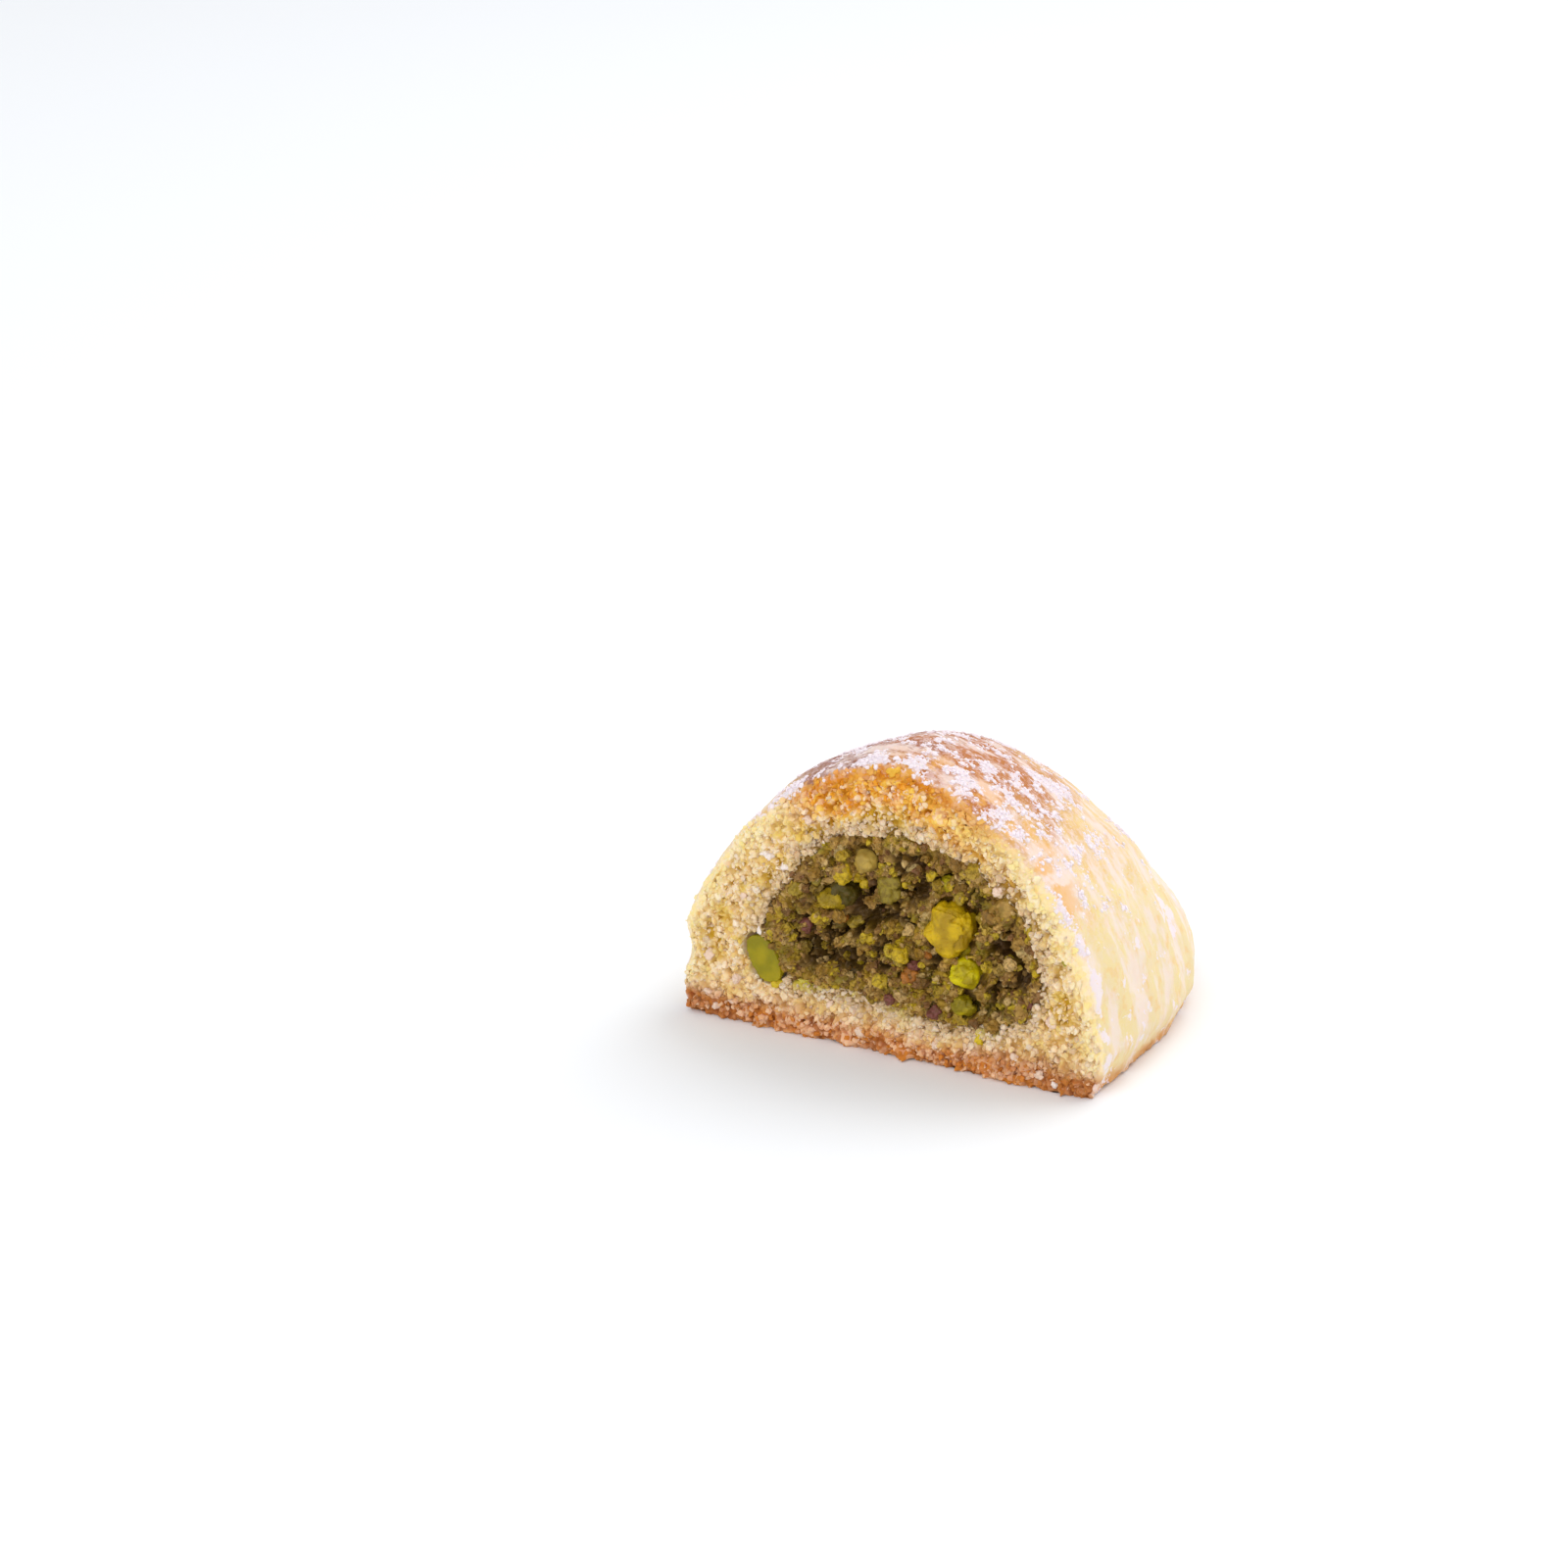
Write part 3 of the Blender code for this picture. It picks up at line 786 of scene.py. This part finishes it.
def toned_material(name, tones, roughness, dust, own_share):
    """Crumb material: each crumb's own tone in this share, over the ground nut's colour and painted shade
    there.
    """
    made, tree, shader = food_material(name, roughness, 0.1, 0.0006)
    picked = node(tree, "ShaderNodeValToRGB", {0: stored(tree, "tint")})
    picked.color_ramp.interpolation = "CONSTANT"
    stops = picked.color_ramp.elements
    for number, code in enumerate(tones):
        stop = stops[number] if number < 2 else stops.new(number / len(tones))
        stop.position = number / len(tones)
        stop.color = colour(code)
    under = node(tree, "ShaderNodeGroup", node_tree=nut_group).outputs[0]
    mixed = blend(tree, own_share, under, picked.outputs[0])
    speck = noise(tree, surface_mm(tree), 3.0, 3, 0.6)
    dusty = blend(tree, ramp(tree, speck, 0.58, 0.36, 0.0, dust), mixed, "5c4418")
    tree.links.new(dusty, shader.inputs["Base Color"])
    gritty(tree, shader, 4.0, 0.5, 0.0001)
    return made


def on_core_face(tree, at):
    """Chance of a crumb: on the open face of the core, in clusters, clear of the deep gaps."""
    clusters = ramp(tree, noise(tree, at, 0.6, 2), 0.38, 0.58, 0.5, 1.0)
    clusters = product(tree, clusters, ramp(tree, attribute(tree, "rise"), -1.4, -0.6, 0.1, 1.0))
    return product(tree, ramp(tree, attribute(tree, "face"), 0.75, 0.95), clusters)


crumb_tones = toned_material("nut_crumb_tones", CRUMB_TONES, 0.5, 0.6, 0.65)
fine_crumbs = scatter("nut_crumbs", nut_core, on_core_face, 0.00030, (0.00012, 0.00032), 31,
                      ball=(7, 5), dents=3.2)
fine_crumbs.data.materials.append(crumb_tones)
large_crumbs = scatter("nut_lumps", nut_core, on_core_face, 0.0010, (0.00028, 0.00065), 43,
                       rough=0.0009, ball=(14, 9), dents=3.0)
large_crumbs.data.materials.append(crumb_tones)


def broken_rise(tree, radius_mm, size):
    """Rise of a broken nut surface in millimetres: flat steps, hollows and fine pits."""
    at = scaled(tree, place_mm(tree), calc(tree, "DIVIDE", 1.0, radius_mm))
    warp = node(tree, "ShaderNodeTexNoise", {"Vector": at, "Scale": 1.1, "Detail": 1.0}).outputs["Color"]
    warped = vector_calc(tree, "MULTIPLY_ADD", warp, (0.8, 0.8, 0.8), at)
    step = parts(tree, cells(tree, warped, 1.0).outputs["Color"])[0]
    fine_step = parts(tree, cells(tree, warped, 3.0).outputs["Color"])[0]
    rise = total(tree,
                 swing(tree, noise(tree, at, 0.8, 1), size * 1.5),
                 swing(tree, step, size * 0.45),
                 swing(tree, fine_step, size * 0.14),
                 swing(tree, noise(tree, at, 4.0, 2), size * 0.2))
    return product(tree, rise, radius_mm)


def place_bits(name, surface, rows, tones, dust, seed):
    """A piece of larger broken bits, each sunk a little into a surface of the cut."""
    search = BVHTree.FromObject(surface, bpy.context.evaluated_depsgraph_get())
    places = []
    for across, height, radius, _ in rows:
        start = Vector((across / 1000, CUT_Y - 0.01, height / 1000))
        hit = search.ray_cast(start, Vector((0, 1, 0)))[0]
        places.append((start.x, (hit.y if hit else CUT_Y) + radius * BIT_SINK / 1000, start.z))
    mesh = bpy.data.meshes.new(name)
    mesh.from_pydata(places, [], [])
    store(mesh, "radius", [row[2] / 1000 for row in rows])
    store(mesh, "tint", [(row[3] + 0.5) / len(tones) for row in rows])
    piece = bpy.data.objects.new(name, mesh)
    bpy.context.scene.collection.objects.link(piece)
    tree, points_in, bits_out = geometry_tree(name)
    lump = node(tree, "GeometryNodeMeshIcoSphere", {"Radius": 1.0, "Subdivisions": 4}).outputs[0]
    turn = random_vector(tree, (0.0, 0.0, 0.0), (FULL_TURN, FULL_TURN, FULL_TURN), seed)
    stretch = random_vector(tree, (0.7, 0.7, 0.7), (1.3, 1.3, 1.3), seed + 1)
    scale = scaled(tree, stretch, attribute(tree, "radius"))
    placed = node(tree, "GeometryNodeInstanceOnPoints",
                  {"Points": points_in, "Instance": lump, "Rotation": turn, "Scale": scale}).outputs[0]
    real = node(tree, "GeometryNodeRealizeInstances", {0: placed}).outputs[0]
    broken = broken_rise(tree, product(tree, attribute(tree, "radius"), 1000.0), 1.0)
    shaped = shifted(tree, real, along_normal(tree, broken))
    tree.links.new(node(tree, "GeometryNodeSetShadeSmooth", {"Geometry": shaped}).outputs[0], bits_out)
    apply_tree(piece, tree)
    piece.data.materials.clear()
    piece.data.materials.append(toned_material(name + "_tones", tones, 0.42, dust, 1.0))
    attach(piece, "root")
    return piece


bits = place_bits("nut_bits", nut_core, NUT_BITS, BIT_TONES, 0.5, 5)

# Crumbs of dough that stand out on the cut: across, height and radius in millimetres, tone.
DOUGH_TONES = ("f4e6dc", "eccfb8", "e8b43c", "d4b824", "a89c38")
DOUGH_BITS = ((-10.8, 15.1, 0.5, 0), (-9.2, 14.3, 0.4, 0), (-11.5, 8.3, 0.5, 0), (0.2, 23.9, 0.55, 2),
              (-13.4, 4.0, 0.4, 1), (-14.1, 1.6, 0.4, 1), (-5.1, 3.0, 0.45, 1), (15.4, 11.1, 0.35, 4),
              (8.2, 3.2, 0.5, 3), (-10.0, 3.9, 0.5, 3), (-16.4, 2.0, 0.35, 1), (-15.6, 0.9, 0.35, 1),
              (13.6, 1.1, 0.4, 1), (11.5, 2.2, 0.35, 1), (15.0, 0.7, 0.35, 0), (9.8, 16.0, 0.35, 1),
              (-16.2, 5.2, 0.5, 1), (14.6, 5.8, 0.35, 1), (-13.0, 11.2, 0.4, 1), (4.6, 1.8, 0.35, 1),
              (-2.2, 1.6, 0.35, 1), (-7.0, 18.9, 0.4, 1))
loose_crumbs = place_bits("loose_crumbs", shortbread, DOUGH_BITS, DOUGH_TONES, 0.0, 15)

# ---- Pistachio pieces -----------------------------------------------------------------
# The larger nut pieces at the cut: one clean slice of kernel and five broken chunks. Each
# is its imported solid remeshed, broken along flat faces and finely pitted.
NUT_VOXEL = 0.00016
# Light and dark tone, then how far the surface is broken, as a share of the full amount.
NUT_LOOKS = {
    "pistachio_slice": ("a09000", "887e00", 0.05),
    "pistachio_large": ("d2ae0c", "a68410", 0.45),
    "pistachio_lower": ("dccc06", "988408", 0.7),
    "pistachio_bottom": ("bca814", "84740e", 0.9),
    "pistachio_pale": ("bc9e48", "9c8038", 0.3),
    "pistachio_olive": ("b89a1c", "8a7216", 1.0),
}

for nut_name, (light_tone, dark_tone, broken_share) in NUT_LOOKS.items():
    nut = copy_of(nut_name, nut_name + "_flesh")
    refine(nut, NUT_VOXEL, 0.0, 1)
    relief, nut_in, nut_out = geometry_tree(nut_name + "_relief")
    broken = broken_rise(relief, max(nut.dimensions) / 2 * 1000, broken_share)
    relief.links.new(shifted(relief, nut_in, along_normal(relief, broken)), nut_out)
    apply_tree(nut, relief)
    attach(nut, "root")
    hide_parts(nut_name)
    flesh, tree, shader = food_material(nut_name + "_flesh", 0.42, 0.15, 0.0009)
    at = surface_mm(tree)
    green = blend(tree, ramp(tree, noise(tree, at, 0.6, 3), 0.35, 0.65), light_tone, dark_tone)
    brown = ramp(tree, noise(tree, at, 1.3, 3), 0.58, 0.74, 0.0, min(broken_share, 0.35))
    tree.links.new(blend(tree, brown, green, "7d6420"), shader.inputs["Base Color"])
    gritty(tree, shader, 4.0, 0.35, 0.0001)
    nut.data.materials.append(flesh)

# ---- Powdered sugar -------------------------------------------------------------------
# Icing sugar sifted over the baked top. It lies in clumps along the ridge and thins to a
# film on the flanks; the film is in the dough's own colour, the clumps are laid on it.


def sugared(tree, at):
    """Chance of a clump: on the outer skin where the sugar lies thick."""
    skin = product(tree, ramp(tree, attribute(tree, "rind_mm"), 0.5, 0.2),
                   ramp(tree, attribute(tree, "cut"), 0.5, 0.0))
    high_up = ramp(tree, parts(tree, at)[2], 10.0, 15.0)
    return product(tree, skin, high_up, ramp(tree, sugar_cover(tree, at), 0.50, 0.52))


sugar = scatter("sugar_clumps", shortbread, sugared, 0.00024, (0.00010, 0.00024), 51,
                flatten=0.6, rough=0.00022, dents=2.6)
powder, tree, shader = food_material("powdered_sugar", 0.9, 0.2, 0.0005)
shader.inputs["Subsurface Radius"].default_value = (1.0, 0.95, 0.95)
white = blend(tree, noise(tree, surface_mm(tree), 1.5, 2), "f8eef3", "eedfe6")
tree.links.new(white, shader.inputs["Base Color"])
gritty(tree, shader, 6.0, 0.4, 0.00005)
sugar.data.materials.append(powder)
